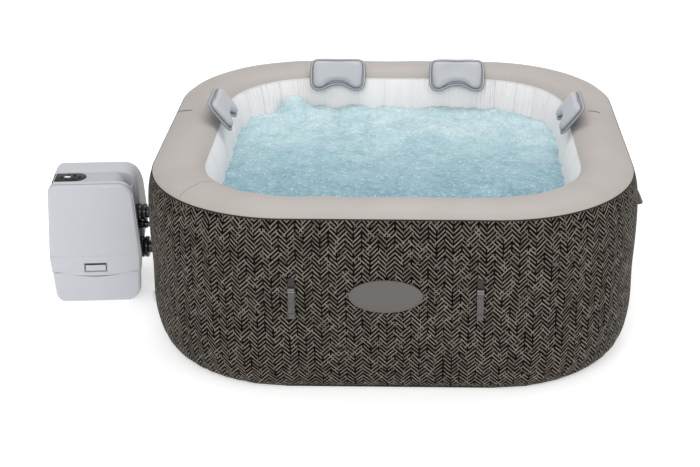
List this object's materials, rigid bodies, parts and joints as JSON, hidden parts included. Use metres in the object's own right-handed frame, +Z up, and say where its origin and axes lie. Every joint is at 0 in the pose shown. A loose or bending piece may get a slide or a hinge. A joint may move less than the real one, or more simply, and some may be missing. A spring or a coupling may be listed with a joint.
{
  "type": "inflatable hot tub",
  "caption": "Square inflatable hot tub with round corners, an air-filled rim and wall, padded headrests and a pump unit coupled to one side.",
  "frame": {"origin": "centre of the tub's flat underside, on the floor", "axes": "+X to the tub's right, away from the pump unit; +Y to the back; +Z up; the badge faces -Y"},
  "size_m": [2.3078, 1.829, 0.755],
  "materials": {
    "printed_vinyl": "dark laminated vinyl printed with a fine herringbone weave in grey-brown, satin",
    "rim_vinyl": "smooth warm grey-beige inflated vinyl, satin",
    "liner_vinyl": "white vinyl liner with upright welded seams, satin",
    "base_vinyl": "dark reinforced vinyl",
    "pillow_vinyl": "grey padded vinyl with a darker piping",
    "strap_plastic": "dark grey webbing and moulded buckle, slight gloss",
    "grey_plastic": "mid grey moulded plastic",
    "white_plastic": "white moulded plastic",
    "black_plastic": "black moulded plastic, satin",
    "pump_plastic": "light cool grey moulded plastic, satin, fine grain",
    "panel_plastic": "near-black gloss panel",
    "display_lens": "clear lens over a pale display",
    "filter_paper": "pleated off-white filter fleece",
    "motor_metal": "painted motor can",
    "heater_steel": "plain steel tube",
    "circuit_board": "green circuit board"
  },
  "bodies": {
    "tub": {"outer_wall": "printed_vinyl", "rim_panel": "rim_vinyl", "inner_liner": "liner_vinyl", "air_channel": "liner_vinyl", "floor_sheet": "liner_vinyl", "base_sheet": "base_vinyl", "wall_webs": "liner_vinyl", "side_badge": "grey_plastic", "valve_body": "white_plastic", "drain_body": "white_plastic", "port_upper": "black_plastic", "port_lower": "black_plastic", "air_duct": "black_plastic", "outlet_screen": "white_plastic", "filter_housing": "white_plastic", "pump_base": "pump_plastic", "front_cover": "pump_plastic", "centre_band": "pump_plastic", "rear_cover": "pump_plastic", "control_panel": "panel_plastic", "display_lens": "display_lens", "cable_gland": "black_plastic", "circulation_motor": "motor_metal", "circulation_volute": "black_plastic", "blower_motor": "motor_metal", "blower_housing": "black_plastic", "control_board": "circuit_board", "heater_tube": "heater_steel", "return_pipe": "black_plastic", "suction_pipe": "black_plastic", "air_pipe": "black_plastic"},
    "strap_right_back": {"strap_right_back": "strap_plastic"},
    "strap_right_front": {"strap_right_front": "strap_plastic"},
    "strap_back_left": {"strap_back_left": "strap_plastic"},
    "strap_back_right": {"strap_back_right": "strap_plastic"},
    "strap_left_front": {"strap_left_front": "strap_plastic"},
    "strap_left_back": {"strap_left_back": "strap_plastic"},
    "strap_front_right": {"strap_front_right": "strap_plastic"},
    "strap_front_left": {"strap_front_left": "strap_plastic"},
    "headrest_back_left": {"headrest_back_left": "pillow_vinyl"},
    "headrest_back_right": {"headrest_back_right": "pillow_vinyl"},
    "headrest_left": {"headrest_left": "pillow_vinyl"},
    "headrest_right": {"headrest_right": "pillow_vinyl"},
    "valve_hood": {"valve_hood": "grey_plastic"},
    "valve_cap": {"valve_cap": "white_plastic"},
    "drain_cap": {"drain_cap": "white_plastic"},
    "filter_cartridge": {"filter_cartridge": "filter_paper"},
    "nut_upper": {"nut_upper": "black_plastic"},
    "nut_air": {"nut_air": "black_plastic"},
    "nut_lower": {"nut_lower": "black_plastic"},
    "key_1": {"key_1": "panel_plastic"},
    "key_2": {"key_2": "panel_plastic"},
    "key_3": {"key_3": "panel_plastic"},
    "key_4": {"key_4": "panel_plastic"},
    "key_5": {"key_5": "panel_plastic"},
    "key_6": {"key_6": "panel_plastic"},
    "latch_tab": {"latch_tab": "pump_plastic"},
    "blower_fan": {"blower_fan": "white_plastic"},
    "circulation_impeller": {"circulation_impeller": "white_plastic"}
  },
  "joints": [
    {"name": "strap_right_back_swing", "type": "hinge", "parent": "tub", "child": "strap_right_back", "pos_m": [0.906, 0.322, 0.432], "axis": [0, -1, 0], "range_deg": [0, 80]},
    {"name": "strap_right_front_swing", "type": "hinge", "parent": "tub", "child": "strap_right_front", "pos_m": [0.906, -0.322, 0.432], "axis": [0, -1, 0], "range_deg": [0, 80]},
    {"name": "strap_back_left_swing", "type": "hinge", "parent": "tub", "child": "strap_back_left", "pos_m": [-0.322, 0.906, 0.432], "axis": [1, 0, 0], "range_deg": [0, 80]},
    {"name": "strap_back_right_swing", "type": "hinge", "parent": "tub", "child": "strap_back_right", "pos_m": [0.322, 0.906, 0.432], "axis": [1, 0, 0], "range_deg": [0, 80]},
    {"name": "strap_left_front_swing", "type": "hinge", "parent": "tub", "child": "strap_left_front", "pos_m": [-0.906, -0.322, 0.432], "axis": [0, 1, 0], "range_deg": [0, 80]},
    {"name": "strap_left_back_swing", "type": "hinge", "parent": "tub", "child": "strap_left_back", "pos_m": [-0.906, 0.322, 0.432], "axis": [0, 1, 0], "range_deg": [0, 80]},
    {"name": "strap_front_right_swing", "type": "hinge", "parent": "tub", "child": "strap_front_right", "pos_m": [0.3085, -0.906, 0.432], "axis": [-1, 0, 0], "range_deg": [0, 80]},
    {"name": "strap_front_left_swing", "type": "hinge", "parent": "tub", "child": "strap_front_left", "pos_m": [-0.3355, -0.906, 0.432], "axis": [-1, 0, 0], "range_deg": [0, 80]},
    {"name": "headrest_back_left_lift", "type": "slide", "parent": "tub", "child": "headrest_back_left", "axis": [0, 0, 1], "range_m": [0, 0.2]},
    {"name": "headrest_back_right_lift", "type": "slide", "parent": "tub", "child": "headrest_back_right", "axis": [0, 0, 1], "range_m": [0, 0.2]},
    {"name": "headrest_left_lift", "type": "slide", "parent": "tub", "child": "headrest_left", "axis": [0, 0, 1], "range_m": [0, 0.2]},
    {"name": "headrest_right_lift", "type": "slide", "parent": "tub", "child": "headrest_right", "axis": [0, 0, 1], "range_m": [0, 0.2]},
    {"name": "valve_hood_flap", "type": "hinge", "parent": "tub", "child": "valve_hood", "pos_m": [0.9023, -0.325, 0.5645], "axis": [0, -1, 0], "range_deg": [0, 100]},
    {"name": "valve_cap_turn", "type": "hinge", "parent": "tub", "child": "valve_cap", "pos_m": [0.9015, -0.325, 0.53], "axis": [1, 0, 0], "continuous": true},
    {"name": "drain_cap_turn", "type": "hinge", "parent": "tub", "child": "drain_cap", "pos_m": [-0.8893, -0.365, 0.12], "axis": [-1, 0, 0], "continuous": true},
    {"name": "filter_cartridge_pull", "type": "slide", "parent": "tub", "child": "filter_cartridge", "axis": [1, 0, 0], "range_m": [0, 0.11]},
    {"name": "nut_upper_turn", "type": "hinge", "parent": "tub", "child": "nut_upper", "pos_m": [-1, -0.06, 0.339], "axis": [1, 0, 0], "continuous": true},
    {"name": "nut_air_turn", "type": "hinge", "parent": "tub", "child": "nut_air", "pos_m": [-1, -0.06, 0.287], "axis": [1, 0, 0], "continuous": true},
    {"name": "nut_lower_turn", "type": "hinge", "parent": "tub", "child": "nut_lower", "pos_m": [-1, -0.06, 0.19], "axis": [1, 0, 0], "continuous": true},
    {"name": "key_1_press", "type": "slide", "parent": "tub", "child": "key_1", "axis": [0, 0, -1], "range_m": [0, 0.001], "stiffness_N_per_m": 400, "springref_m": -0.0005},
    {"name": "key_2_press", "type": "slide", "parent": "tub", "child": "key_2", "axis": [0, 0, -1], "range_m": [0, 0.001], "stiffness_N_per_m": 400, "springref_m": -0.0005},
    {"name": "key_3_press", "type": "slide", "parent": "tub", "child": "key_3", "axis": [0, 0, -1], "range_m": [0, 0.001], "stiffness_N_per_m": 400, "springref_m": -0.0005},
    {"name": "key_4_press", "type": "slide", "parent": "tub", "child": "key_4", "axis": [0, 0, -1], "range_m": [0, 0.001], "stiffness_N_per_m": 400, "springref_m": -0.0005},
    {"name": "key_5_press", "type": "slide", "parent": "tub", "child": "key_5", "axis": [0, 0, -1], "range_m": [0, 0.001], "stiffness_N_per_m": 400, "springref_m": -0.0005},
    {"name": "key_6_press", "type": "slide", "parent": "tub", "child": "key_6", "axis": [0, 0, -1], "range_m": [0, 0.001], "stiffness_N_per_m": 400, "springref_m": -0.0005},
    {"name": "latch_tab_press", "type": "slide", "parent": "tub", "child": "latch_tab", "axis": [-0.0785, 0.9969, 0], "range_m": [0, 0.003], "stiffness_N_per_m": 500, "springref_m": -0.001},
    {"name": "blower_fan_spin", "type": "hinge", "parent": "tub", "child": "blower_fan", "pos_m": [-1.22013, 0.06289, 0.35], "axis": [0, 0, 1], "continuous": true},
    {"name": "circulation_impeller_spin", "type": "hinge", "parent": "tub", "child": "circulation_impeller", "pos_m": [-1.1206, -0.05466, 0.062], "axis": [0.9969, 0.0785, 0], "continuous": true}
  ]
}
